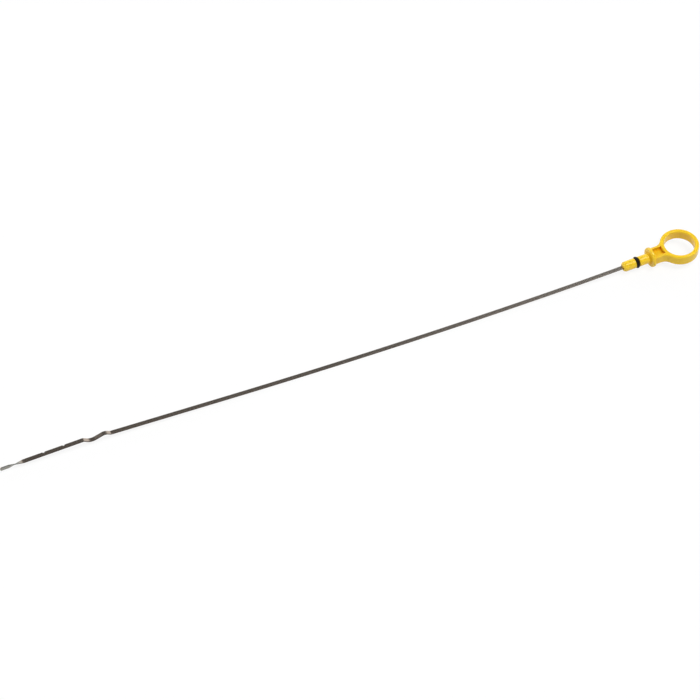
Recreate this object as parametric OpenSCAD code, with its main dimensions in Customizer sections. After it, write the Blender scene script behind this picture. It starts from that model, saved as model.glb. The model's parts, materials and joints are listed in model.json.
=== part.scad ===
// Engine oil dipstick: a yellow moulded handle with a finger ring and a seating
// flange, a rubber seal on its barrel, and a long spring steel strip with two level
// notches and a twisted end. The part lies as it comes to rest on a flat surface.
// Millimetres, +X towards the finger ring, +Z up. The origin is the centre of the
// flange's seating face, where the handle stops against the dipstick tube.

/* [Finger ring] */
// Diameter of the finger hole
hole_d = 25.7; // [22:0.1:32]
// Wall of the ring, from the hole to the outside
ring_wall = 3.7; // [2.6:0.1:5]
// Height of the ring and of the neck
ring_h = 8.9; // [7:0.1:12]
// Rounding of the ring's and the neck's edges
grip_edge_r = 1.2; // [0.4:0.1:1.2]

/* [Neck] */
// From the flange's back face to the edge of the finger hole
neck_len = 13; // [10:0.1:25]
// Width of the neck across its two rails
neck_w = 12.4; // [9:0.2:14]
// Radius that blends the neck into the ring
neck_blend_r = 8; // [4:0.5:12]
// Thickness of each rail beside the pocket
rail_t = 2.2; // [1.2:0.1:2.6]
// Depth of the pocket, the same above and below
pocket_depth = 3; // [1:0.1:3]
// Solid neck between the flange and the pocket
pocket_start = 1.6; // [1:0.1:4]
// Wall between the pocket and the finger hole
pocket_end_wall = 3.2; // [1.5:0.1:4]
// Rounding of the pocket's corners at the flange
pocket_corner_r = 0.8; // [0.3:0.1:1.5]

/* [Flange and barrel] */
// Diameter of the flange that stops on the tube
flange_d = 17; // [14:0.1:22]
// Thickness of the flange
flange_t = 3; // [2.2:0.1:5]
// Rounding of the flange's rim
flange_edge_r = 1; // [0.3:0.1:1]
// Diameter of the barrel that goes into the tube
barrel_d = 8.6; // [8:0.1:9.4]
// Length of the barrel, from the nose to the seating face
barrel_len = 25.3; // [20:0.1:36]
// Rounding of the barrel's nose
nose_r = 2.8; // [0.5:0.1:3]

/* [Seal] */
// Outer diameter of the seal ring
seal_d = 10; // [9.6:0.1:10.6]
// Diameter of the seal ring's section
seal_section_d = 2.5; // [2:0.1:2.6]
// From the seating face to the middle of the seal
seal_x = 12; // [8:0.1:16]
// Side clearance of the seal in its groove
groove_clearance = 0.45; // [0.1:0.05:0.6]

/* [Steel strip] */
// Width of the strip
strip_w = 3.5; // [2.6:0.1:4]
// Thickness of the strip
strip_t = 0.8; // [0.6:0.1:1.2]
// From the seating face back to the strip's tail end, inside the barrel
tail_inset = 4.3; // [2:0.1:8]
// Hole in the tail that the moulding fills, to lock the strip in
key_hole_d = 1.6; // [1:0.1:1.8]
// From the tail's inner end to the middle of that hole
key_hole_inset = 4; // [3:0.1:6]
// Length of the first, slightly tighter part of the bow
near_bow_len = 60; // [40:1:90]
// Turn of the first part of the bow, in degrees
near_bow_turn = 1.5; // [0.5:0.1:2]
// Length of the long bow
main_bow_len = 300; // [220:1:380]
// Turn of the long bow, in degrees
main_bow_turn = 3.95; // [2:0.05:6]
// Straight strip between the bow and the wave
straight_len = 95.3; // [60:0.1:140]

/* [Wave] */
// First leg of the wave, which climbs
rise_len = 5.4; // [4.5:0.1:9]
// Angle of the first leg to the handle's axis, in degrees
rise_angle = 32.3; // [15:0.1:38]
// Second leg of the wave, which falls
fall_len = 12.3; // [9:0.1:14]
// Angle of the second leg, in degrees
fall_angle = 17.3; // [8:0.1:25]
// Third leg of the wave, which climbs again
return_len = 7.3; // [6:0.1:10]
// Angle of the third leg, in degrees
return_angle = 35.1; // [15:0.1:38]
// Centre-line radius of the bends from the strip into the wave and out of it
foot_bend_r = 2; // [1.5:0.1:3]
// Centre-line radius of the bend over the wave's crest
crest_bend_r = 5.5; // [2:0.1:6]
// Centre-line radius of the bend through the wave's dip
dip_bend_r = 8; // [2:0.1:8.5]

/* [Gauge end] */
// Angle of the gauge end to the handle's axis, in degrees
gauge_angle = 0.7; // [0:0.1:3]
// Flat strip from the wave to the twist
gauge_len = 48.5; // [40:0.1:70]
// From the wave to the notch of the upper level
upper_notch = 15.6; // [8:0.1:20]
// Distance between the upper and the lower level notch
notch_spacing = 16.4; // [10:0.1:18]
// Width of a level notch along the strip
notch_w = 1.6; // [1:0.1:3]
// Depth of a level notch into the strip's edge
notch_depth = 0.7; // [0.5:0.1:1.3]
// Length of the twist
twist_len = 12.4; // [8:0.1:20]
// Angle of the twist, in degrees
twist_angle = 90; // [60:5:110]
// Length of the flat end beyond the twist
end_len = 6.9; // [4:0.1:12]
// Rounding of the end's corners
end_corner_r = 1.2; // [0.3:0.1:1.2]

/* [Hidden] */
$fn = 96;
overshoot = 1;

hole_r = hole_d / 2;
ring_r = hole_r + ring_wall;
ring_mid_r = hole_r + ring_wall / 2;
ring_x = flange_t + neck_len + hole_r;
// The edges keep a narrow flat between them along the top of the ring.
least_flat = 0.4;
edge_r = min(grip_edge_r, (ring_wall - least_flat) / 2);
neck_half_w = neck_w / 2;
// A neck blend's centre lies its radius beside the neck's side, and its radius outside
// the ring, less a small bite so that the blend crosses the ring's surface cleanly.
blend_bite = 0.05;
blend_y = neck_half_w + neck_blend_r;
blend_reach = ring_r + neck_blend_r - blend_bite;
blend_x = ring_x - sqrt(pow(blend_reach, 2) - pow(blend_y, 2));
blend_sweep = atan2(ring_x - blend_x, blend_y);
sweep_past = 4;
groove_r = seal_d / 2 - seal_section_d;
groove_w = seal_section_d + 2 * groove_clearance;
tail_len = barrel_len - tail_inset;
key_hole_x = -tail_inset - key_hole_inset;

// A move is [length, turn]: the strip goes forward by the length while it turns up by
// the angle. A bend is [turn, radius], and takes its reach off the legs on both sides.
near_bow_steps = 6;
main_bow_steps = 24;
bend_steps = 8;
function reach(bend) = bend[1] * tan(abs(bend[0]) / 2);
function arc_moves(len, turn, steps) = [for (i = [1:steps]) [len / steps, turn / steps]];
function bend_moves(bend) =
    arc_moves(bend[1] * abs(bend[0]) * PI / 180, bend[0], bend_steps);
bow_angle = near_bow_turn + main_bow_turn;
bend_up = [rise_angle - bow_angle, foot_bend_r];
bend_over = [-rise_angle - fall_angle, crest_bend_r];
bend_back = [fall_angle + return_angle, dip_bend_r];
bend_level = [gauge_angle - return_angle, foot_bend_r];
moves = concat(
    [[tail_len, 0]],
    arc_moves(near_bow_len, near_bow_turn, near_bow_steps),
    arc_moves(main_bow_len, main_bow_turn, main_bow_steps),
    [[straight_len - reach(bend_up), 0]],
    bend_moves(bend_up),
    [[rise_len - reach(bend_up) - reach(bend_over), 0]],
    bend_moves(bend_over),
    [[fall_len - reach(bend_over) - reach(bend_back), 0]],
    bend_moves(bend_back),
    [[return_len - reach(bend_back) - reach(bend_level), 0]],
    bend_moves(bend_level),
    [[gauge_len - reach(bend_level), 0]]
);
// Stations along the centre line from the tail to the twist, each [x, z, angle].
stations = [
    for (i = 0, x = -tail_inset, z = 0, a = 0;
         i <= len(moves);
         m = i < len(moves) ? moves[i] : [0, 0],
         x = x - m[0] * cos(a + m[1] / 2),
         z = z + m[0] * sin(a + m[1] / 2),
         a = a + m[1],
         i = i + 1)
    [x, z, a]
];
function side_point(s, off) = [s[0] + off * sin(s[2]), s[1] + off * cos(s[2])];
last = len(stations) - 1;
strip_outline = concat(
    [for (s = stations) side_point(s, strip_t / 2)],
    [for (i = [last:-1:0]) side_point(stations[i], -strip_t / 2)]
);
gauge_end = stations[last];
// At rest the flange's rim and the lowest part of the bow both touch the floor. The part
// is pitched by the slope of the line that touches the rim's rounding and the strip.
rim = [flange_edge_r, flange_edge_r - flange_d / 2];
rest_pitch = min([
    for (s = stations)
    let (away = side_point(s, -strip_t / 2) - rim)
    atan2(away[1], -away[0]) + asin(flange_edge_r / norm(away))
]);

// Keeps what is drawn in the handle's own axes and pitches it down to the rest pose.
module at_rest() {
    rotate([0, -rest_pitch, 0]) children();
}

// The region outside a quarter circle, which rounds off a corner where it is taken away.
module corner_off(r) {
    difference() {
        square(r + overshoot);
        circle(r);
    }
}

// Half section of the barrel and flange: radius along x, distance along y.
module turned_section() {
    difference() {
        union() {
            translate([0, -barrel_len])
                square([barrel_d / 2, barrel_len + flange_t / 2]);
            square([flange_d / 2, flange_t]);
        }
        translate([barrel_d / 2 - nose_r, -barrel_len + nose_r])
            mirror([0, 1])
            corner_off(nose_r);
        translate([flange_d / 2 - flange_edge_r, flange_t - flange_edge_r])
            corner_off(flange_edge_r);
        translate([flange_d / 2 - flange_edge_r, flange_edge_r])
            mirror([0, 1])
            corner_off(flange_edge_r);
        translate([groove_r, -seal_x - groove_w / 2])
            square([barrel_d, groove_w]);
    }
}

module turned_body() {
    rotate([0, 90, 0])
        rotate_extrude()
        turned_section();
}

module ring_body() {
    translate([ring_x, 0, 0])
        rotate_extrude()
        translate([ring_mid_r, 0])
        difference() {
            square([ring_wall, ring_h], center = true);
            for (side = [0, 1], face = [0, 1])
                mirror([side, 0])
                mirror([0, face])
                translate([ring_wall / 2 - edge_r, ring_h / 2 - edge_r])
                corner_off(edge_r);
        }
}

// Plan of the neck: parallel sides that blend into the ring, up to the ring's middle.
module neck_plan() {
    difference() {
        polygon([
            [flange_t / 2, -neck_half_w],
            [blend_x, -neck_half_w],
            [blend_x, -blend_y],
            [ring_x, 0],
            [blend_x, blend_y],
            [blend_x, neck_half_w],
            [flange_t / 2, neck_half_w]
        ]);
        for (side = [-1, 1])
            translate([blend_x, side * blend_y]) circle(neck_blend_r);
        translate([ring_x, 0]) circle(ring_mid_r);
    }
}

// Takes the sharp edge off one side of the neck, along its straight side and its blend.
module neck_edge_off() {
    translate([flange_t, neck_half_w - edge_r, ring_h / 2 - edge_r])
        rotate([90, 0, 90])
        linear_extrude(blend_x - flange_t)
        corner_off(edge_r);
    translate([blend_x, blend_y, ring_h / 2 - edge_r])
        rotate([0, 0, -90])
        rotate_extrude(angle = blend_sweep + sweep_past)
        translate([neck_blend_r + edge_r, 0])
        mirror([1, 0])
        corner_off(edge_r);
}

module pocket_plan() {
    half_w = neck_half_w - rail_t;
    start = flange_t + pocket_start;
    difference() {
        union() {
            translate([start + pocket_corner_r, -half_w])
                square([ring_x - start, 2 * half_w]);
            translate([start, pocket_corner_r - half_w])
                square([ring_x - start, 2 * (half_w - pocket_corner_r)]);
            for (side = [-1, 1])
                translate([start + pocket_corner_r, side * (half_w - pocket_corner_r)])
                circle(pocket_corner_r);
        }
        translate([ring_x, 0]) circle(hole_r + pocket_end_wall);
    }
}

module neck_body() {
    difference() {
        linear_extrude(ring_h, center = true) neck_plan();
        for (side = [0, 1], face = [0, 1])
            mirror([0, side, 0])
            mirror([0, 0, face])
            neck_edge_off();
        for (face = [0, 1])
            mirror([0, 0, face])
            translate([0, 0, ring_h / 2 - pocket_depth])
            linear_extrude(pocket_depth + overshoot)
            pocket_plan();
    }
}

module key_hole() {
    translate([key_hole_x, 0, 0])
        cylinder(d = key_hole_d, h = 2 * strip_t, center = true);
}

// The slot that the strip's tail fills. The moulding runs through the tail's hole.
module tail_slot() {
    difference() {
        translate([-barrel_len - overshoot, -strip_w / 2, -strip_t / 2])
            cube([tail_len + overshoot, strip_w, strip_t]);
        key_hole();
    }
}

module handle() {
    color([0.95, 0.78, 0.16])
        at_rest()
        difference() {
            union() {
                turned_body();
                neck_body();
                ring_body();
            }
            tail_slot();
        }
}

module seal_ring() {
    color([0.07, 0.07, 0.07])
        at_rest()
        translate([-seal_x, 0, 0])
        rotate([0, 90, 0])
        rotate_extrude()
        translate([groove_r + seal_section_d / 2, 0])
        circle(d = seal_section_d);
}

// Moves to the end of the gauge, with +X along the strip and +Z off its upper face.
module at_gauge_end() {
    translate([gauge_end[0], 0, gauge_end[1]])
        rotate([0, gauge_end[2] - 180, 0])
        mirror([0, 0, 1])
        children();
}

module level_notches() {
    for (x = [upper_notch, upper_notch + notch_spacing])
        at_gauge_end()
        translate([x - gauge_len - notch_w / 2, strip_w / 2 - notch_depth, -strip_t])
        cube([notch_w, notch_depth + overshoot, 2 * strip_t]);
}

// The twisted length: the strip's section turns evenly along it, with its upper face
// going over towards +Y. A narrowing root reaches back inside the flat strip.
twist_steps = 24;
root_len = 1;
root_share = 0.7;
function twist_ring(x, turn, grow) = [
    for (c = [[1, 1], [-1, 1], [-1, -1], [1, -1]])
    let (y = grow * c[0] * strip_w / 2, z = grow * c[1] * strip_t / 2)
    [x, y * cos(turn) + z * sin(turn), z * cos(turn) - y * sin(turn)]
];
module twist_body() {
    points = concat(
        twist_ring(-root_len, 0, root_share),
        [
            for (i = [0:twist_steps])
            let (u = i / twist_steps)
            each twist_ring(u * twist_len, u * twist_angle, 1)
        ]
    );
    sides = [
        for (i = [0:twist_steps], k = [0:3])
        let (a = 4 * i + k, b = 4 * i + (k + 1) % 4)
        each [[a, b + 4, b], [a, a + 4, b + 4]]
    ];
    end = 4 * (twist_steps + 1);
    polyhedron(points, concat([[0, 1, 2, 3], [end + 3, end + 2, end + 1, end]], sides));
}

module end_plan() {
    half_w = strip_w / 2;
    difference() {
        translate([0, -half_w]) square([end_len, strip_w]);
        for (side = [0, 1])
            mirror([0, side])
            translate([end_len - end_corner_r, half_w - end_corner_r])
            corner_off(end_corner_r);
    }
}

module strip() {
    color([0.45, 0.42, 0.39])
        at_rest() {
            difference() {
                rotate([90, 0, 0])
                    linear_extrude(strip_w, center = true)
                    polygon(strip_outline);
                key_hole();
                level_notches();
            }
            at_gauge_end() {
                twist_body();
                translate([twist_len, 0, 0])
                    rotate([-twist_angle, 0, 0])
                    linear_extrude(strip_t, center = true)
                    end_plan();
            }
        }
}

handle();
seal_ring();
strip();
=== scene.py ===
# %% [markdown]
# # An engine oil dipstick
#
# A dipstick is a long, thin spring steel strip with a moulded plastic handle. The solid
# model of it is ready, so this lesson dresses it: it gives each piece a finer surface and
# a finish, and puts it on a pale table under soft light. Shapes are worked out in
# millimetres, and the scene itself is in metres. The solid model's own corners are kept to
# compare with the dressed one at the end.

# %% Load the solid model
import json

import bpy
import numpy as np
from mathutils import Matrix, Vector


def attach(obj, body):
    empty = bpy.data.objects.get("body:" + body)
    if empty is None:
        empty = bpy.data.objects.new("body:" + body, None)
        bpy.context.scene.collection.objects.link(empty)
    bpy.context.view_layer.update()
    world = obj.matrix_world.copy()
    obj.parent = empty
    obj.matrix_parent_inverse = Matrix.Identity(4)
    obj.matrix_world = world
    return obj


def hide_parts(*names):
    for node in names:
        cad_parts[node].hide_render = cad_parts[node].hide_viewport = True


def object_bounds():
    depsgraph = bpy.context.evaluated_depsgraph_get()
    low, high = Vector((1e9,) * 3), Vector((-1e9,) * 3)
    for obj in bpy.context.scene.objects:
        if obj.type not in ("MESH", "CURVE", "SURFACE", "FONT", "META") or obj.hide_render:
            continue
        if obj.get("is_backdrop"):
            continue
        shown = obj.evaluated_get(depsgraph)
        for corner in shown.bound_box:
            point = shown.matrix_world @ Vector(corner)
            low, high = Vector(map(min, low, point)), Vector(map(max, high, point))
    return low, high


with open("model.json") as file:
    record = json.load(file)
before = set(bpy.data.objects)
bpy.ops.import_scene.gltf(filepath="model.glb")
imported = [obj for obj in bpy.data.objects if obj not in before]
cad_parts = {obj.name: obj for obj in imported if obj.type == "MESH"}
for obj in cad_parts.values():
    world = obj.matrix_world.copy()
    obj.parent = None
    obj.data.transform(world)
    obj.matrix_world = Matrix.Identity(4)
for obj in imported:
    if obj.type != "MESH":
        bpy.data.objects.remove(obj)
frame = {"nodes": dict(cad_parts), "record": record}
cad_low, cad_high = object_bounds()
mm = 0.001
print("pieces of the solid model:", sorted(frame["nodes"]))

# %% [markdown]
# The part lies as it comes to rest, with its flange and the belly of its bow on the
# table, so the handle's axis rises a little towards the finger ring. The finger hole's
# axis is on record. It gives the handle's own three axes, in which every shape below is
# worked out: `forward` towards the ring, `aside` along +Y, and `up` out of the hole.

# %% The handle's own axes
mounts = {m["name"]: m for m in frame["record"]["mounts"]}
up = np.array(mounts["finger_ring"]["axis"])
aside = np.array([0.0, 1.0, 0.0])
forward = np.cross(aside, up)
handle_axes = np.array([forward, aside, up])
print("the handle's axis rises %.2f degrees" % np.degrees(np.arcsin(forward[2])))


def to_row(points):
    """Points in the handle's axes, in millimetres, as points of the model in metres."""
    return np.asarray(points) @ handle_axes * mm


# %% [markdown]
# ## Meshes out of arrays
#
# Every piece below ends as two arrays: its points, and the faces that join them by
# number. One helper turns such a pair into a Blender mesh. It also stores named numbers
# on the points, which the materials read later.

# %% A helper that makes a mesh piece
def make_piece(name, points, faces, marks=None, uv=None):
    """A smooth mesh object from points in the handle's axes and faces by number.

    marks maps a name to one number for each point. uv holds one pair for each point.
    """
    mesh = bpy.data.meshes.new(name)
    mesh.from_pydata(to_row(points).tolist(), [], faces)
    mesh.validate()
    mesh.polygons.foreach_set("use_smooth", np.ones(len(mesh.polygons), bool))
    for mark, values in (marks or {}).items():
        layer = mesh.attributes.new(mark, "FLOAT", "POINT")
        layer.data.foreach_set("value", np.asarray(values, np.float32))
    if uv is not None:
        corner = np.empty(len(mesh.loops), np.int32)
        mesh.loops.foreach_get("vertex_index", corner)
        layer = mesh.uv_layers.new(name="UVMap")
        layer.uv.foreach_set("vector", uv[corner].astype(np.float32).ravel())
    mesh.update()
    piece = bpy.data.objects.new(name, mesh)
    bpy.context.scene.collection.objects.link(piece)
    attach(piece, "root")
    print(name, "has", len(mesh.vertices), "points and", len(mesh.polygons), "faces")
    return piece


def grid_faces(rows, columns, closed):
    """Four-sided faces of a grid of points. closed joins its last column to its first."""
    span = columns if closed else columns - 1
    r, c = np.meshgrid(np.arange(rows - 1), np.arange(span), indexing="ij")
    across = (c + 1) % columns
    corners = [r * columns + c, r * columns + across]
    corners += [corners[1] + columns, corners[0] + columns]
    return np.stack(corners, axis=-1).reshape(-1, 4)


# %% [markdown]
# ## The handle's shape
#
# The handle comes out of a mould as one piece: nose, barrel, flange, neck and ring flow
# into one another. Joining separate surfaces would leave seams, so the handle is
# described as a distance field: a function that is negative inside the plastic and
# positive outside. Rounding, joining and cutting are then plain arithmetic on arrays.

# %% The handle's sizes, in millimetres
hole_r = 12.85
ring_r = 16.55
ring_h = 8.9
edge_r = 1.2
ring_x = 28.85
neck_half_w = 6.2
blend_r = 8.0
blend_y = neck_half_w + blend_r
blend_x = ring_x - np.sqrt((ring_r + blend_r) ** 2 - blend_y**2)
rail_t = 2.2
pocket_x = 4.6
pocket_depth = 3.0
pocket_end_r = hole_r + 3.2
flange_r = 8.5
flange_t = 3.0
flange_edge_r = 1.0
barrel_r = 4.3
barrel_len = 25.3
nose_r = 2.8
seal_x = -12.0
groove_r = 2.5
groove_w = 3.4
mouth_half_w, mouth_half_t, mouth_depth, mouth_corner_r = 2.15, 0.8, 0.9, 0.5
print("the neck blends into the ring from x = %.1f mm" % blend_x)


# %% Arithmetic of distance fields
def rounded_box(u, v, half_u, half_v, r):
    """Distance to a rectangle with rounded corners.

    The point is folded into one quarter. What sticks out past the inner rectangle,
    which is smaller by r each way, is measured in a straight line, less r.
    """
    du = np.abs(u) - (half_u - r)
    dv = np.abs(v) - (half_v - r)
    outside = np.hypot(np.maximum(du, 0), np.maximum(dv, 0))
    return outside + np.minimum(np.maximum(du, dv), 0) - r


def join(a, b, r):
    """Smooth union: the lower of a and b, lowered further where they are closer than r."""
    h = np.maximum(r - np.abs(a - b), 0) / r
    return np.minimum(a, b) - h * h * r / 4


def cut(a, b, r):
    """Smooth difference: what is in a and not in b, with its new edges rounded."""
    return -join(-a, b, r)


print("two shapes 0.1 mm away, joined over 1 mm: %.2f mm" % join(0.1, 0.1, 1.0))

# %% [markdown]
# How softly two shapes meet is a choice of its own. A moulded part has no knife edges, so
# each cut and each join below gets a reach in millimetres: over that distance the two
# surfaces flow into one another. Small reaches give crisp edges, such as the groove's,
# and large ones give the soft root of the flange and the rounded floor of the pocket.

# %% How softly the handle's shapes meet, in millimetres
groove_edge = 0.25
mouth_edge = 0.5
flange_root = 1.0
pocket_corner_r = 0.8
pocket_end_edge = 0.3
pocket_floor_edge = 1.6
pocket_rim = 0.5
grip_root = 0.7
print("reaches go from %.2f to %.2f mm" % (groove_edge, pocket_floor_edge))


# %% The turned part: nose, barrel, groove and flange
def turned_field(x, y, z):
    """Distance to the barrel and flange, which are rounded boxes swept round the axis.

    The groove for the seal and the mouth that the strip comes out of are cut into them.
    """
    rho = np.hypot(y, z)
    middle = (flange_t - barrel_len) / 2
    half = (flange_t + barrel_len) / 2
    barrel = rounded_box(x - middle, rho, half, barrel_r, nose_r)
    groove = np.maximum(np.abs(x - seal_x) - groove_w / 2, groove_r - rho)
    barrel = cut(barrel, groove, groove_edge)
    mouth = rounded_box(y, z, mouth_half_w, mouth_half_t, mouth_corner_r)
    mouth = np.maximum(mouth, x + barrel_len - mouth_depth)
    barrel = cut(barrel, mouth, mouth_edge)
    flange = rounded_box(x - flange_t / 2, rho, flange_t / 2, flange_r, flange_edge_r)
    return join(barrel, flange, flange_root)


print("the barrel's axis lies %.2f mm inside it" % -turned_field(seal_x / 2, 0.0, 0.0))

# %% The grip: finger ring and neck
def plan_field(x, y):
    """Distance to the grip's outline, seen from above.

    The ring is a disc. The neck's sides are straight up to blend_x and then follow the
    blend circle, up to the line from that circle's centre to the ring's centre. The
    finger hole is taken out of both.
    """
    rho = np.hypot(x - ring_x, y)
    side = np.abs(y)
    past = np.maximum(x - blend_x, 0)
    neck = blend_r - np.hypot(past, blend_y - side)
    neck = np.where(x < blend_x, side - neck_half_w, neck)
    slope = blend_y / (ring_x - blend_x)
    on_neck = (side < (ring_x - x) * slope) & (side < blend_y)
    outline = np.where(on_neck, np.minimum(rho - ring_r, neck), rho - ring_r)
    return np.maximum(outline, hole_r - rho)


def grip_field(x, y, z):
    """Distance to the grip: its plan at full height with rounded edges, less pockets.

    A pocket's outline is a long rounded box that starts at pocket_x. A circle about the
    finger hole cuts it off, and only what lies past the pocket's depth counts.
    """
    out = plan_field(x, y) + edge_r
    rise = np.abs(z) - ring_h / 2 + edge_r
    body = np.hypot(np.maximum(out, 0), np.maximum(rise, 0))
    body = body + np.minimum(np.maximum(out, rise), 0) - edge_r
    body = np.maximum(body, flange_t / 2 - x)
    half_long = 10
    half_wide = neck_half_w - rail_t
    sides = rounded_box(x - pocket_x - half_long, y, half_long, half_wide, pocket_corner_r)
    pocket = cut(sides, np.hypot(x - ring_x, y) - pocket_end_r, pocket_end_edge)
    pocket = cut(pocket, np.abs(z) - (ring_h / 2 - pocket_depth), pocket_floor_edge)
    return cut(body, pocket, pocket_rim)


def handle_field(x, y, z):
    """Distance to the whole handle."""
    return join(turned_field(x, y, z), grip_field(x, y, z), grip_root)


print("the ring's band is %.2f mm wide" % (ring_r - hole_r))

# %% [markdown]
# The surface is where the field is zero. The field is worked out on a grid of small
# cubes. Each cube that the surface passes through gets one point, at the mean of the
# places where the surface crosses the cube's edges. Around each crossed edge of the grid
# four such cubes meet, and their points make one face. A few steps down the field's
# slope then put every point on the true surface.

# %% From a field to a mesh
def crossings(field, axis):
    """Where the zero surface crosses the grid's edges along one axis.

    Returns the crossed edges' cells, the crossing points in cells, and which way the
    field falls. Along an edge the field is taken to change evenly.
    """
    low = np.moveaxis(field, axis, 0)[:-1]
    high = np.moveaxis(field, axis, 0)[1:]
    low, high = np.moveaxis(low, 0, axis), np.moveaxis(high, 0, axis)
    cells = np.argwhere((low < 0) != (high < 0))
    a = low[tuple(cells.T)]
    b = high[tuple(cells.T)]
    points = cells.astype(float)
    points[:, axis] += a / (a - b)
    return cells, points, a < 0


def field_mesh(field_of, low, high, step):
    """Points and faces of the surface on which field_of is zero, inside a box."""
    sizes = np.ceil((np.array(high) - low) / step).astype(int) + 1
    lines = [low[k] + step * np.arange(sizes[k]) for k in range(3)]
    x, y, z = np.meshgrid(*lines, indexing="ij", sparse=True)
    field = field_of(x, y, z)
    total = np.zeros((*sizes, 3))
    count = np.zeros(sizes)
    rings = []
    turns = [(0, 0), (1, 0), (1, 1), (0, 1)]
    for axis in range(3):
        cells, points, falls = crossings(field, axis)
        others = [(axis + 1) % 3, (axis + 2) % 3]
        around = []
        for turn in turns:
            cell = cells.copy()
            cell[:, others] -= turn
            np.add.at(total, tuple(cell.T), points)
            np.add.at(count, tuple(cell.T), 1)
            around.append(np.ravel_multi_index(tuple(cell.T), tuple(sizes)))
        ring = np.stack(around, axis=1)
        ring[~falls] = ring[~falls][:, ::-1]
        rings.append(ring)
    used = np.flatnonzero(count.ravel())
    number = np.full(count.size, -1)
    number[used] = np.arange(len(used))
    points = total.reshape(-1, 3)[used] / count.ravel()[used, None]
    return points * step + low, number[np.concatenate(rings)]


def field_slope(field_of, points, reach=0.02):
    """The field's slope at each point, from values a short way off on both sides."""
    slope = np.empty_like(points)
    for k in range(3):
        off = np.zeros(3)
        off[k] = reach
        slope[:, k] = field_of(*(points + off).T) - field_of(*(points - off).T)
    return slope / (2 * reach)


def settle(field_of, points, steps=4, least=0.25):
    """Moves points onto the zero surface: each step goes down the slope by the field's
    value over the slope squared, which is taken to be at least `least`."""
    for _ in range(steps):
        slope = field_slope(field_of, points)
        steep = np.maximum((slope**2).sum(axis=1), least)
        points = points - slope * (field_of(*points.T) / steep)[:, None]
    return points


# %% Mesh the handle
cell = 0.3
handle_low = np.array([-barrel_len, -ring_r, -flange_r])
handle_high = np.array([ring_x + ring_r, ring_r, flange_r])
room = np.array([1.03, 1.07, 1.01])  # uneven, so that no flat face lies in the grid
handle_points, handle_faces = field_mesh(
    handle_field, handle_low - room, handle_high + 1.0, cell
)
handle_points = settle(handle_field, handle_points)
print("handle spans", handle_points.min(axis=0).round(2), handle_points.max(axis=0).round(2))

# %% [markdown]
# In the pockets' corners, in the groove and at the root of the flange, less light gets in
# and out again, so the yellow is painted deeper and more orange there: painted shade. A
# hollow place is one from which a short step outwards comes closer to plastic again, and
# the field tells just that. The amount of painted shade is stored on the points as a mark.
# The height above the mould's parting plane is stored as well, for the parting line.

# %% Mark the handle's hollows for painted shade, and its parting plane
def hollowness(field_of, points, reaches=(0.8, 1.6, 2.6)):
    """0 in the open and towards 1 in a recess, the mask of the painted shade: the share of
    each step outwards that the field doesn't gain, as the mean of three steps."""
    normal = field_slope(field_of, points)
    normal /= np.linalg.norm(normal, axis=1, keepdims=True)
    lost = [1 - field_of(*(points + normal * r).T) / r for r in reaches]
    return np.clip(np.mean(lost, axis=0), 0, 1)


# how much painted shade the pockets' floor and walls get
floor_shade, wall_shade = 0.12, 0.14


def pocket_shade(points, rim=0.4, start=0.3, full=2.0):
    """Painted shade in the pockets: 0 outside them. Inside, it grows from `start` to `full`
    more millimetres down, and is larger on the walls than on the floor, because the walls
    face one another.
    """
    x, y, z = points.T
    inside = (np.abs(y) < neck_half_w - rail_t + rim) & (x > pocket_x - rim)
    inside &= np.hypot(x - ring_x, y) > pocket_end_r - rim
    inside &= x < ring_x
    steep = 1 - np.abs(field_slope(handle_field, points)[:, 2])
    depth = np.clip((ring_h / 2 - start - np.abs(z)) / full, 0, 1)
    return inside * depth * (floor_shade + wall_shade * steep)


# painted shade: hollows and pockets get a darker, more orange colour by this mark
hollow_painted_shade = hollowness(handle_field, handle_points) + pocket_shade(handle_points)
hollow_painted_shade = np.clip(hollow_painted_shade, 0, 1)
handle_marks = {"hollow_painted_shade": hollow_painted_shade, "mould_height": handle_points[:, 2] * mm}
handle = make_piece("moulded_handle", handle_points, handle_faces.tolist(), handle_marks)
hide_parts("handle")
print("hollows reach %.2f" % hollow_painted_shade.max())

# %% [markdown]
# ## The steel strip
#
# The strip is rolled spring steel with rounded edges: one profile carried along a path.
# The path runs straight through the barrel, along a slow bow, over a wave with three legs
# and along the gauge end. Blender can sweep a profile along a curve object, but notches,
# a rounded tip and an even twist are easier to place by their distance along the strip,
# so the path is worked out here. Every stretch is an arc or a straight, so its turn for
# each millimetre is a constant. Adding that up gives the direction, and adding up the
# direction gives the place.

# %% The strip's sizes, in millimetres and degrees
strip_w = 3.5
strip_t = 0.8
strip_edge_r = 0.22
tail_x = -4.3
near_bow, main_bow = (60.0, 1.5), (300.0, 3.95)
legs = [95.3, 5.4, 12.3, 7.3, 48.5]
leg_angles = [5.45, 32.3, -17.3, 35.1, 0.7]
bend_r = np.array([2.0, 5.5, 8.0, 2.0])
twist_len, twist_angle, end_len = 12.4, 90.0, 6.9
end_corner_r = 1.2


# %% The strip's path
def stretches():
    """The path as (length, turn in degrees) pairs, from the tail to the tip.

    A bend of radius r that turns by t has a length of r t and takes r tan(t / 2) off the
    legs on both its sides.
    """
    turns = np.diff(leg_angles)
    trims = bend_r * np.tan(np.radians(np.abs(turns)) / 2)
    path = [(barrel_len + tail_x, 0.0), near_bow, main_bow]
    for k, leg in enumerate(legs):
        before = trims[k - 1] if k > 0 else 0.0
        after = trims[k] if k < len(trims) else 0.0
        path.append((leg - before - after, 0.0))
        if k < len(trims):
            path.append((bend_r[k] * np.radians(abs(turns[k])), turns[k]))
    path.append((twist_len + end_len, 0.0))
    return np.array(path)


path = stretches()
ends = np.concatenate([[0], np.cumsum(path[:, 0])])
strip_len = ends[-1]
twist_start = strip_len - twist_len - end_len
print("the strip is %.1f mm long, tail and all" % strip_len)


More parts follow.
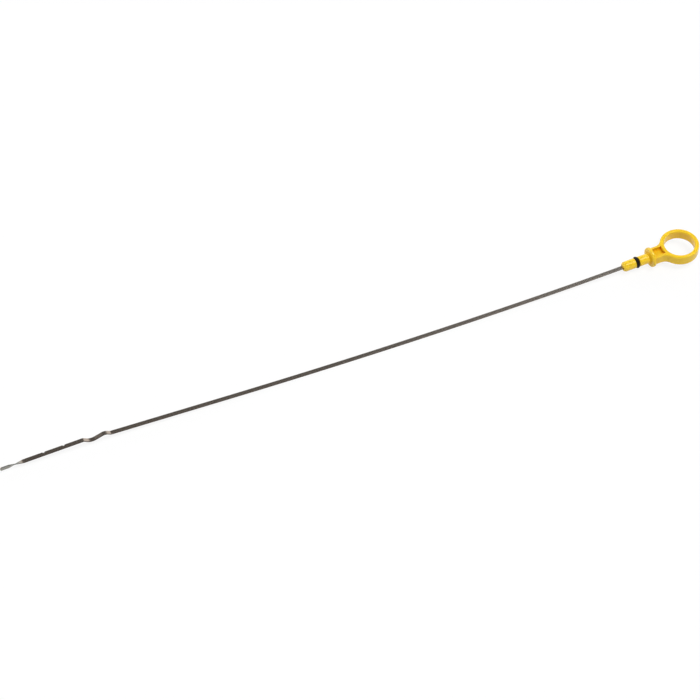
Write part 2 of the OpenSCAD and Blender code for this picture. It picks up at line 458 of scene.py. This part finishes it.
def along_path(s, marks=40001):
    """Direction in degrees and place at each distance s along the path.

    The direction is the sum of the turns so far. The place adds up cosines and sines of
    the direction on a fine ruler of equal steps, and is read off between its marks.
    """
    heading = np.concatenate([[0], np.cumsum(path[:, 1])])
    ruler = np.linspace(0, strip_len, marks)
    angle = np.radians(np.interp(ruler, ends, heading))
    middle = (angle[1:] + angle[:-1]) / 2
    step = ruler[1]
    x = tail_x - np.concatenate([[0], np.cumsum(np.cos(middle) * step)])
    z = np.concatenate([[0], np.cumsum(np.sin(middle) * step)])
    return np.interp(s, ends, heading), np.interp(s, ruler, x), np.interp(s, ruler, z)


# %% [markdown]
# Two level notches are cut into the far edge of the gauge end, and the tip has rounded
# corners. Both only change how far each edge lies from the centre line, so they are two
# functions of the distance along the strip. The twist is a third one: the angle by which
# the profile is turned about the path.

# %% Edges, notches and twist along the strip
notch_w, notch_depth, notch_wall = 1.6, 0.7, 0.06
notch_margin, tip_margin = 0.3, 0.004
upper_notch, notch_spacing = 15.6, 16.4
gauge_start = twist_start - legs[-1]
notch_at = gauge_start + np.array([upper_notch, upper_notch + notch_spacing])


def edge_reach(s):
    """Distance of the near and the far edge from the centre line at each s.

    The tip's corners are quarter circles. A notch takes notch_depth off the far edge,
    and its walls slope over notch_wall.
    """
    into_tip = np.clip(s - (strip_len - end_corner_r), 0, end_corner_r)
    half = strip_w / 2 - end_corner_r + np.sqrt(end_corner_r**2 - into_tip**2)
    off = np.abs(s[:, None] - notch_at)
    inside = np.clip(((notch_w + notch_wall) / 2 - off) / notch_wall, 0, 1).max(axis=1)
    return half, half - inside * notch_depth


def twist_at(s):
    """Turn of the profile in radians: none up to the twist, then evenly to its end."""
    return np.radians(twist_angle) * np.clip((s - twist_start) / twist_len, 0, 1)


print("the notches lie", notch_at.round(1), "mm along the strip")

# %% Stations along the strip
def stations():
    """Distances at which the strip gets a profile: close together where it bends, twists
    or is cut, and far apart on the slow bow.

    The corners' circles meet the tip squarely, so the last one lies just short of it.
    """
    marks = [np.linspace(ends[0], ends[1], 8), np.linspace(ends[1], ends[4], 150)]
    for k in range(3, len(path) - 1):
        count = 13 if path[k, 1] else max(3, int(path[k, 0] / 2))
        marks.append(np.linspace(ends[k], ends[k + 1], count))
    marks.append(np.linspace(twist_start, twist_start + twist_len, 49))
    marks.append(np.linspace(twist_start + twist_len, strip_len - end_corner_r, 6))
    corner = np.sin(np.linspace(0, np.pi / 2, 12)[:-1])
    marks.append(strip_len - end_corner_r + end_corner_r * corner)
    for at in notch_at:
        for side in (-1, 1):
            edge = at + side * notch_w / 2
            marks.append(edge + np.array([-notch_margin, -notch_wall / 2]))
            marks.append(edge + np.array([notch_wall / 2, notch_margin]))
    marks.append([strip_len - tip_margin])
    return np.unique(np.concatenate(marks).round(5))


s = stations()
print("the strip gets", len(s), "profiles, at least %.3f mm apart" % np.diff(s).min())

# %% The strip's surface
def profile(count=6):
    """Rounded rectangle of half sizes 1: (side, corner part) for each of its points.

    side is -1 or 1 across and up or down. The corner part is the unit vector that the
    edge's rounding adds. One more point lies a little way along the flat on both sides of
    a corner, so that the flats stay flat when their shading is smoothed.
    """
    turn = np.linspace(0, np.pi / 2, count)
    quarter = np.stack([np.cos(turn), np.sin(turn)], axis=1)
    quarter = np.concatenate([[[1, -0.5]], quarter, [[-0.5, 1]]])
    sides, parts = [], []
    for across, upward in ((1, 1), (-1, 1), (-1, -1), (1, -1)):
        part = quarter * (across, upward)
        parts.append(part if across * upward > 0 else part[::-1])
        sides.append(np.tile((across, upward), (count + 2, 1)))
    return np.concatenate(sides), np.concatenate(parts)


def strip_surface(s):
    """Points of the strip: the profile at each station, turned by the twist and carried
    to the path. Returns points, and the distances along and round the strip."""
    heading, x, z = along_path(s)
    near, far = edge_reach(s)
    sides, parts = profile()
    flat = strip_t / 2 - strip_edge_r
    reach = np.where(sides[:, 0] > 0, far[:, None], near[:, None])
    u = sides[:, 0] * (reach - strip_edge_r) + parts[:, 0] * strip_edge_r
    v = sides[:, 1] * flat + parts[:, 1] * strip_edge_r + 0 * u
    t = twist_at(s)[:, None]
    across = u * np.cos(t) + v * np.sin(t)
    upward = v * np.cos(t) - u * np.sin(t)
    a = np.radians(heading)[:, None]
    points = [x[:, None] + upward * np.sin(a), across, z[:, None] + upward * np.cos(a)]
    around = np.concatenate([[0], np.cumsum(np.hypot(*np.diff([u[0], v[0]])))])
    ruler = np.broadcast_to(s[:, None], u.shape)
    return np.stack(points, axis=-1), ruler, np.broadcast_to(around, u.shape)


print("a profile has", len(profile()[0]), "points")

# %% Mesh the strip
surface, ruler, around = strip_surface(s)
rows, columns = surface.shape[:2]
strip_points = surface.reshape(-1, 3)
strip_faces = grid_faces(rows, columns, closed=True).tolist()
first = list(range(columns))
last = [(rows - 1) * columns + c for c in range(columns)]
strip_faces += [first[::-1], last]  # one flat face closes each end
strip_uv = np.stack([ruler.ravel(), around.ravel()], axis=1) * mm
print("the strip has", rows, "stations of", columns, "points")

# %% [markdown]
# The strip is slit from wide sheet. Its edges are painted darker than its rolled faces, as
# painted shade. From a little way into the twist to the tip, the colour turns a lighter,
# neutral grey. Two marks on the points tell the finish where this is: the edge mark is 1
# on the edges, and little of it is left from the twist on. The tip mark is 0 before the
# twist and 1 in most of it and on the end plate.

# %% Mark the strip's painted edge shade and its grey tip
edge_shade_rise = 3.0
edge_shade_kept = 0.2
twist_rise = 4.0
tip_grey_from = 0.1


def strip_finish():
    """The marks for each point: painted shade on the edges, and the grey tip.

    An edge's outward part is the product of the corner's side and its rounding's unit
    vector. Each mark is a slope that is cut off below 0 and above 1.
    """
    into_twist = (ruler - twist_start) / twist_len
    corner_sides, corner_parts = profile()
    # painted shade on the edges, weaker from the twist on
    outward = np.clip(edge_shade_rise * (corner_sides * corner_parts)[:, 0], 0, 1)
    side = outward * (1 - (1 - edge_shade_kept) * np.clip(twist_rise * into_twist, 0, 1))
    # from a little way into the twist to the tip, the colour is a lighter, neutral grey
    tip_grey = np.clip(twist_rise * (into_twist - tip_grey_from), 0, 1)
    return {"side": side.ravel(), "tip_grey": tip_grey.ravel()}


strip_marks = strip_finish()
strip = make_piece("steel_strip", strip_points, strip_faces, strip_marks, strip_uv)
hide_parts("strip")

# %% [markdown]
# ## The seal ring
#
# The seal is a rubber ring of round section, so its surface is a circle carried round a
# circle. Blender's own torus has that shape, but such rings keep a fine moulding line
# round their outside, where the two halves of the mould met. Here the section's radius is
# a formula, so a low ridge can be added to it.

# %% The seal ring's surface
seal_mid_r = 3.75
seal_section_r = 1.25
seam_height, seam_half_w = 0.02, 0.09


def seal_surface(count_round=128, count_section=48):
    """Points of the seal: the section's radius is that of a circle less the seam's height,
    and a bell curve about the outside brings it back to the full circle."""
    a = np.linspace(0, 2 * np.pi, count_round, endpoint=False)[:, None]
    b = np.linspace(0, 2 * np.pi, count_section, endpoint=False)[None, :]
    off = np.minimum(b, 2 * np.pi - b)
    seam = np.exp(-((off / seam_half_w) ** 2))
    section = seal_section_r - seam_height + seam_height * seam
    rho = seal_mid_r + section * np.cos(b)
    x = seal_x + section * np.sin(b) + 0 * a
    return np.stack([x, rho * np.cos(a), rho * np.sin(a)], axis=-1)


seal_grid = seal_surface()
ring_rows, ring_columns = seal_grid.shape[:2]
# one row of faces more, whose far points are the first row's again
seal_faces = grid_faces(ring_rows + 1, ring_columns, closed=True) % (ring_rows * ring_columns)
seal = make_piece("rubber_seal", seal_grid.reshape(-1, 3), seal_faces.tolist())
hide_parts("seal_ring")

# %% [markdown]
# ## Finishes
#
# Three finishes share one effect: a fine uneven grain that changes the surface's colour,
# height or gloss. It is built once, as a node group, and every material places it at a
# scale of its own. The scale counts waves per metre, so 1000 gives grains of about 1 mm.

# %% Colours and node helpers
def linear(red, green, blue):
    """A screen colour from 0 to 255, as the linear colour that shaders use."""
    c = np.array([red, green, blue]) / 255
    c = np.where(c <= 0.04045, c / 12.92, ((c + 0.055) / 1.055) ** 2.4)
    return (*c.tolist(), 1.0)


def add_node(tree, kind, **values):
    """A node of a tree, with its settings, or its inputs by name, set."""
    node = tree.nodes.new(kind)
    for name, value in values.items():
        if name in node.inputs:
            node.inputs[name].default_value = value
        else:
            setattr(node, name, value)
    return node


def new_material(name):
    """An empty material: its node tree, its Principled shader and its coordinates."""
    material = bpy.data.materials.new(name)
    material.use_nodes = True
    tree = material.node_tree
    tree.nodes.clear()
    out = tree.nodes.new("ShaderNodeOutputMaterial")
    shader = tree.nodes.new("ShaderNodeBsdfPrincipled")
    tree.links.new(shader.outputs["BSDF"], out.inputs["Surface"])
    place = tree.nodes.new("ShaderNodeTexCoord")
    return material, tree, shader, place


def dress(piece, material):
    """Gives a piece its material."""
    piece.data.materials.append(material)
    nodes = len(material.node_tree.nodes)
    print(piece.name, "wears", material.name, "with", nodes, "nodes")


print("a screen grey of 128 is %.2f of full light" % linear(128, 128, 128)[0])

# %% The shared grain
def make_grain():
    """Group: noise of a given Scale, in waves per metre, becomes a 0 to 1 Mask."""
    group = bpy.data.node_groups.new("surface_grain", "ShaderNodeTree")
    face = group.interface
    face.new_socket("Vector", in_out="INPUT", socket_type="NodeSocketVector")
    size = face.new_socket("Scale", in_out="INPUT", socket_type="NodeSocketFloat")
    size.default_value = 1000.0
    face.new_socket("Mask", in_out="OUTPUT", socket_type="NodeSocketFloat")
    source = group.nodes.new("NodeGroupInput")
    result = group.nodes.new("NodeGroupOutput")
    noise = add_node(group, "ShaderNodeTexNoise", Detail=4.0, Roughness=0.55)
    group.links.new(source.outputs["Vector"], noise.inputs["Vector"])
    group.links.new(source.outputs["Scale"], noise.inputs["Scale"])
    group.links.new(noise.outputs["Fac"], result.inputs["Mask"])
    return group


grain = make_grain()
print("the grain group has", len(grain.nodes), "nodes")


def place_grain(tree, vector, scale):
    """The shared grain in a material, fed by a vector, at a scale of its own."""
    node = tree.nodes.new("ShaderNodeGroup")
    node.node_tree = grain
    node.inputs["Scale"].default_value = scale
    tree.links.new(vector, node.inputs["Vector"])
    return node.outputs["Mask"]


def ramped(tree, value, start, stop, low, high):
    """low up to start, high from stop on, and an even slope between them."""
    node = tree.nodes.new("ShaderNodeMapRange")
    node.inputs["From Min"].default_value = start
    node.inputs["From Max"].default_value = stop
    node.inputs["To Min"].default_value = low
    node.inputs["To Max"].default_value = high
    tree.links.new(value, node.inputs["Value"])
    return node.outputs["Result"]


def spread(tree, value, low, high, up_to=1.0):
    """Maps a value from 0 to up_to to the range from low to high."""
    return ramped(tree, value, 0.0, up_to, low, high)


def added(tree, a, b):
    """The sum of two values."""
    node = add_node(tree, "ShaderNodeMath", operation="ADD")
    tree.links.new(a, node.inputs[0])
    tree.links.new(b, node.inputs[1])
    return node.outputs[0]


def colour_ramp(tree, value, shades):
    """Colours by a 0 to 1 value. shades holds (position, screen colour) pairs."""
    ramp = tree.nodes.new("ShaderNodeValToRGB")
    stops = ramp.color_ramp.elements
    places, colours = zip(*shades)
    stops[0].position, stops[-1].position = places[0], places[-1]
    for position in places[1:-1]:
        stops.new(position)
    for stop, colour in zip(stops, colours):
        stop.color = linear(*colour)
    tree.links.new(value, ramp.inputs["Fac"])
    return ramp.outputs["Color"]


def tinted(tree, colour, factor, tint):
    """A colour multiplied by a tint, as far as the factor says."""
    node = add_node(tree, "ShaderNodeMix", data_type="RGBA", blend_type="MULTIPLY")
    node.inputs["B"].default_value = (*tint, 1.0)
    tree.links.new(factor, node.inputs["Factor"])
    tree.links.new(colour, node.inputs["A"])
    return node.outputs["Result"]


def attribute(tree, name):
    """A number stored on the mesh's points, as the material reads it."""
    return add_node(tree, "ShaderNodeAttribute", attribute_name=name).outputs["Fac"]


def bumped(tree, shader, height, strength, depth):
    """Lets a height change the shader's normal. depth is in metres."""
    bump = add_node(tree, "ShaderNodeBump", Strength=strength, Distance=depth)
    tree.links.new(height, bump.inputs["Height"])
    tree.links.new(bump.outputs["Normal"], shader.inputs["Normal"])


# %% [markdown]
# The handle is nylon with a yellow dye, fresh from a polished mould. The dye has flowed
# a little unevenly, its skin has a very fine grain, and the two halves of the mould have
# left a thin raised line round its middle. Light that scatters under the skin is what
# gives such plastic its depth. Tracing it is slow, and many file formats drop it, so the
# hollow mark paints shade into the colour itself: deep amber in the hollows, as painted
# shade. The hollows are duller as well, since a mould's pockets can't be polished.

# %% Yellow plastic
# painted shade: from bright yellow in the open to deep amber in the hollows
yellow_and_painted_shade_colours = [
    (0.06, (247, 206, 46)),
    (0.32, (241, 194, 2)),
    (0.85, (208, 122, 0)),
]
plastic_rough = (0.16, 0.24)
flow_waves, skin_waves = 120.0, 2600.0
flow_tint, flow_most = (0.93, 0.90, 0.84), 0.6
parting_line_half_w = 0.22 * mm
parting_line_rise, skin_rise = 3.0, 0.35


def yellow_plastic():
    """Glossy moulded plastic: bright yellow, with painted amber shade in its hollows."""
    material, tree, shader, place = new_material("yellow_plastic")
    hollow_painted_shade = attribute(tree, "hollow_painted_shade")
    # painted shade: the colour darkens to amber by the hollow mark
    dye_and_painted_shade = colour_ramp(tree, hollow_painted_shade, yellow_and_painted_shade_colours)
    flow = place_grain(tree, place.outputs["Object"], flow_waves)
    dye_and_painted_shade = tinted(tree, dye_and_painted_shade, spread(tree, flow, 0.0, flow_most), flow_tint)
    tree.links.new(dye_and_painted_shade, shader.inputs["Base Color"])
    skin = place_grain(tree, place.outputs["Object"], skin_waves)
    dull = added(tree, spread(tree, skin, *plastic_rough), hollow_painted_shade)
    tree.links.new(dull, shader.inputs["Roughness"])
    off = add_node(tree, "ShaderNodeMath", operation="ABSOLUTE")
    tree.links.new(attribute(tree, "mould_height"), off.inputs[0])
    line = spread(tree, off.outputs[0], 1.0, 0.0, up_to=parting_line_half_w)
    total = add_node(tree, "ShaderNodeMath", operation="MULTIPLY_ADD")
    total.inputs[1].default_value = parting_line_rise
    tree.links.new(line, total.inputs[0])
    tree.links.new(spread(tree, skin, 0.0, skin_rise), total.inputs[2])
    bumped(tree, shader, total.outputs[0], strength=0.25, depth=0.03 * mm)
    shader.inputs["IOR"].default_value = 1.45
    shader.inputs["Specular IOR Level"].default_value = 0.42
    return material


dress(handle, yellow_plastic())


# %% [markdown]
# Spring steel is sold with a brown-grey film of oxide and oil on it. Rolling leaves fine
# streaks along its length. Along this strip the colour is painted darker towards the gauge
# end: painted shade in place of the strip's reflection, which darkens along the bow. The UV
# map runs along the strip in metres, so a noise that is stretched along it makes the
# streaks follow every bend. The two marks on the points paint shade on the edges and turn
# the twisted end a lighter, neutral grey.

# %% Spring steel
# painted shade: the film's colour darkens from the handle towards the gauge end
film_and_painted_shade_colours = [
    (0.02, (238, 229, 219)),
    (0.3, (204, 194, 184)),
    (0.6, (172, 162, 152)),
    (0.97, (165, 153, 142)),
]
# the lighter, neutral grey of the tip
tip_grey_colour = (143, 142, 135)
steel_rough = (0.2, 0.34)
roll_waves, cloud_waves, streak_stretch = 5200.0, 45.0, 0.04
roll_tint, roll_most = (0.72, 0.7, 0.68), 0.7
# painted shade on the strip's edges
edge_shade_tint = (0.22, 0.2, 0.18)
cloud_drift = 0.18


def spring_steel():
    """Rolled spring steel in a brown-grey coat of oxide and oil, with painted shade that
    darkens it towards the gauge end, and long fine streaks along it."""
    material, tree, shader, place = new_material("spring_steel")
    streaks = add_node(tree, "ShaderNodeMapping", Scale=(streak_stretch, 1.0, 1.0))
    tree.links.new(place.outputs["UV"], streaks.inputs["Vector"])
    roll = place_grain(tree, streaks.outputs["Vector"], roll_waves)
    cloud = place_grain(tree, place.outputs["Object"], cloud_waves)
    parts = tree.nodes.new("ShaderNodeSeparateXYZ")
    tree.links.new(place.outputs["UV"], parts.inputs["Vector"])
    along = spread(tree, parts.outputs["X"], 0.0, 1.0, up_to=strip_len * mm)
    drift = add_node(tree, "ShaderNodeMath", operation="MULTIPLY_ADD")
    drift.inputs[1].default_value = cloud_drift
    tree.links.new(cloud, drift.inputs[0])
    tree.links.new(along, drift.inputs[2])
    # painted shade: darker towards the gauge end
    film_and_painted_shade = colour_ramp(tree, drift.outputs[0], film_and_painted_shade_colours)
    film_and_painted_shade = tinted(tree, film_and_painted_shade, spread(tree, roll, 0.0, roll_most), roll_tint)
    # painted shade: the edges are darkened
    film_and_painted_shade = tinted(tree, film_and_painted_shade, attribute(tree, "side"), edge_shade_tint)
    # from a little way into the twist to the tip, the colour turns a lighter, neutral grey
    tip_mix = add_node(tree, "ShaderNodeMix", data_type="RGBA")
    tip_mix.inputs["B"].default_value = linear(*tip_grey_colour)
    tree.links.new(attribute(tree, "tip_grey"), tip_mix.inputs["Factor"])
    tree.links.new(film_and_painted_shade, tip_mix.inputs["A"])
    tree.links.new(tip_mix.outputs["Result"], shader.inputs["Base Color"])
    tree.links.new(spread(tree, roll, *steel_rough), shader.inputs["Roughness"])
    bumped(tree, shader, roll, strength=0.2, depth=0.02 * mm)
    shader.inputs["Metallic"].default_value = 1.0
    return material


dress(strip, spring_steel())


# %% [markdown]
# Seals are made of black rubber that is filled with soot. It is never quite even: a faint
# brownish bloom of wax comes to its surface, and is duller than the bare rubber. One
# noise drives the colour and the gloss, so that the two change together.

# %% Black rubber
rubber_shades = [(0.0, (22, 18, 15)), (1.0, (40, 34, 28))]
rubber_rough = (0.42, 0.6)
bloom_waves = 900.0


def black_rubber():
    """Smooth black rubber with a faint bloom."""
    material, tree, shader, place = new_material("black_rubber")
    bloom = place_grain(tree, place.outputs["Object"], bloom_waves)
    tree.links.new(colour_ramp(tree, bloom, rubber_shades), shader.inputs["Base Color"])
    tree.links.new(spread(tree, bloom, *rubber_rough), shader.inputs["Roughness"])
    bumped(tree, shader, bloom, strength=0.2, depth=0.03 * mm)
    shader.inputs["Specular IOR Level"].default_value = 0.2
    return material


dress(seal, black_rubber())

# %% [markdown]
# ## Table, light and camera
#
# The table is a wide pale sheet a hair below the part's lowest point. It catches a soft
# shadow and shows white to the camera. The world is a pale room that darkens overhead,
# which is what gives rolled steel its dark face between bright bends. A round softbox in
# its ceiling puts the highlight on the barrel, and one wide lamp above shapes the plastic.

# %% The table
table_z = cad_low[2] - 0.02 * mm
table_half = 6.0
corners = np.array([[-1, -1, 0], [1, -1, 0], [1, 1, 0], [-1, 1, 0]]) * table_half
table_mesh = bpy.data.meshes.new("table")
table_mesh.from_pydata((corners + [0, 0, table_z]).tolist(), [], [(0, 1, 2, 3)])
table = bpy.data.objects.new("table", table_mesh)
bpy.context.scene.collection.objects.link(table)
table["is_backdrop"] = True
print("the table lies %.2f mm below the flange's centre" % (-table_z / mm))


bounce_shade, seen_shade, glow_share = 0.7, 0.95, 0.85


def white_table():
    """Pale matt sheet. To the camera and in reflections it is mostly plain white with
    some of its real shade, so that the object keeps a faint shadow. The light that it
    throws back on the object is that of pale grey."""
    material = bpy.data.materials.new("white_table")
    material.use_nodes = True
    tree = material.node_tree
    tree.nodes.clear()
    out = tree.nodes.new("ShaderNodeOutputMaterial")
    seen = tree.nodes.new("ShaderNodeLightPath")
    plain = add_node(tree, "ShaderNodeMath", operation="MAXIMUM")
    tree.links.new(seen.outputs["Is Camera Ray"], plain.inputs[0])
    tree.links.new(seen.outputs["Is Glossy Ray"], plain.inputs[1])
    matt = tree.nodes.new("ShaderNodeBsdfDiffuse")
    tone = spread(tree, plain.outputs[0], bounce_shade, seen_shade)
    tree.links.new(tone, matt.inputs["Color"])
    glow = add_node(tree, "ShaderNodeEmission", Color=(1.0, 1.0, 1.0, 1.0), Strength=1.0)
    mix = tree.nodes.new("ShaderNodeMixShader")
    tree.links.new(spread(tree, plain.outputs[0], 0.0, glow_share), mix.inputs["Fac"])
    tree.links.new(matt.outputs[0], mix.inputs[1])
    tree.links.new(glow.outputs[0], mix.inputs[2])
    tree.links.new(mix.outputs[0], out.inputs["Surface"])
    return material


dress(table, white_table())


# %% The room's light
room_shades = [(0.0, 0.8), (0.42, 0.8), (0.6, 0.095), (1.0, 0.095)]
room_strength = 1.9
near_side, far_side, dim_share = -0.5, 0.4, 0.3
window_edge, window_full, window_strength = -0.1, -0.5, 0.12
softbox_from = Vector((0.34, -0.1, 0.93)).normalized()
softbox_inner, softbox_outer = np.cos(np.radians([9, 13]))
softbox_strength = 5.5


def pale_room():
    """World light: a white band above the horizon, and a dim ceiling with a weak window
    to the left and a round softbox nearly overhead. The room is dimmer on the camera's
    side, and to the camera itself it is plain white. The softbox is where a direction's
    dot product with the softbox's own direction, the cosine of the angle between them,
    is close to 1."""
    world = bpy.data.worlds.new("pale_room")
    bpy.context.scene.world = world
    world.use_nodes = True
    tree = world.node_tree
    tree.nodes.clear()
    out = tree.nodes.new("ShaderNodeOutputWorld")
    place = tree.nodes.new("ShaderNodeTexCoord")
    parts = tree.nodes.new("ShaderNodeSeparateXYZ")
    tree.links.new(place.outputs["Generated"], parts.inputs["Vector"])
    band = tree.nodes.new("ShaderNodeValToRGB")
    stops = band.color_ramp.elements
    for position, _ in room_shades[1:-1]:
        stops.new(position)
    for stop, (_, shade) in zip(stops, room_shades):
        stop.color = (shade, shade, shade, 1.0)
    tree.links.new(parts.outputs["Z"], band.inputs["Fac"])
    across = parts.outputs["X"]
    window = ramped(tree, across, window_edge, window_full, 0.0, window_strength)
    towards = add_node(tree, "ShaderNodeVectorMath", operation="DOT_PRODUCT")
    towards.inputs[1].default_value = softbox_from
    tree.links.new(place.outputs["Generated"], towards.inputs[0])
    spot = towards.outputs["Value"]
    softbox = ramped(tree, spot, softbox_outer, softbox_inner, 0.0, softbox_strength)
    light = added(tree, added(tree, band.outputs["Color"], window), softbox)
    dimmest = dim_share * room_strength
    side = ramped(tree, parts.outputs["Y"], near_side, far_side, dimmest, room_strength)
    level = add_node(tree, "ShaderNodeMath", operation="MULTIPLY")
    tree.links.new(light, level.inputs[0])
    tree.links.new(side, level.inputs[1])
    shade = add_node(tree, "ShaderNodeBackground", Color=(1.0, 1.0, 1.0, 1.0))
    tree.links.new(level.outputs[0], shade.inputs["Strength"])
    plain = add_node(tree, "ShaderNodeBackground", Color=(1.0, 1.0, 1.0, 1.0), Strength=1.0)
    seen = tree.nodes.new("ShaderNodeLightPath")
    mix = tree.nodes.new("ShaderNodeMixShader")
    tree.links.new(seen.outputs["Is Camera Ray"], mix.inputs["Fac"])
    tree.links.new(shade.outputs[0], mix.inputs[1])
    tree.links.new(plain.outputs[0], mix.inputs[2])
    tree.links.new(mix.outputs[0], out.inputs["Surface"])


pale_room()
from_overhead = np.degrees(np.arccos(softbox_from.z))
print("the softbox stands %.0f degrees from overhead" % from_overhead)

# %% The lamp
lamp_from = Vector((0.15, -0.32, 1.0))
lamp_data = bpy.data.lights.new("overhead_lamp", "SUN")
lamp_data.energy = 1.55
lamp_data.angle = np.radians(30)
lamp = bpy.data.objects.new("overhead_lamp", lamp_data)
lamp.rotation_mode = "QUATERNION"
lamp.rotation_quaternion = (-lamp_from).to_track_quat("-Z", "Y")
lamp.visible_glossy = False
bpy.context.scene.collection.objects.link(lamp)
print("the lamp's disc is %.0f degrees wide" % np.degrees(lamp_data.angle))

# %% [markdown]
# The photograph was taken from about two metres, from the gauge end's side and well
# above. The camera's directions are worked out in the handle's own axes, because that is
# where they could be measured: from the ellipse of the ring and the slope of the barrel.
# The camera is then put where the ring's centre falls at its place in the picture.

# %% The camera
azimuth, elevation, roll = np.radians([-24.02, 50.84, 1.0])
ring_seen = np.array([276.16, 86.66, -2000.0])
lens_px = 2382.74
sensor_mm, image_px = 36.0, 700.0
level = np.array([np.cos(azimuth), np.sin(azimuth), 0.0])
back = np.array([np.sin(azimuth) * np.cos(elevation), 0, np.sin(elevation)])
back[1] = -np.cos(azimuth) * np.cos(elevation)
steep = np.cross(back, level)
right = np.cos(roll) * level - np.sin(roll) * steep
above = np.sin(roll) * level + np.cos(roll) * steep
seen_axes = np.array([right, above, back])
eye = np.array([ring_x, 0.0, 0.0]) - ring_seen @ seen_axes
camera_data = bpy.data.cameras.new("photo_camera")
camera_data.sensor_width = sensor_mm
camera_data.lens = lens_px * sensor_mm / image_px
camera_data.clip_start, camera_data.clip_end = 0.05, 50.0
camera = bpy.data.objects.new("photo_camera", camera_data)
bpy.context.scene.collection.objects.link(camera)
turned = Matrix((seen_axes @ handle_axes).T.tolist()).to_4x4()
camera.matrix_world = Matrix.Translation(to_row(eye)) @ turned
bpy.context.scene.camera = camera
print("the camera stands %.2f m from the ring" % (np.linalg.norm(eye) * mm))

# %% Plain colours, and the two boxes for comparison
bpy.context.scene.view_settings.view_transform = "Standard"
low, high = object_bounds()
boxes = {
    "cad": [list(cad_low), list(cad_high)],
    "visual": [list(low), list(high)],
}
for whose, box in boxes.items():
    print(whose, "box in mm:", (np.array(box) / mm).round(2).tolist())
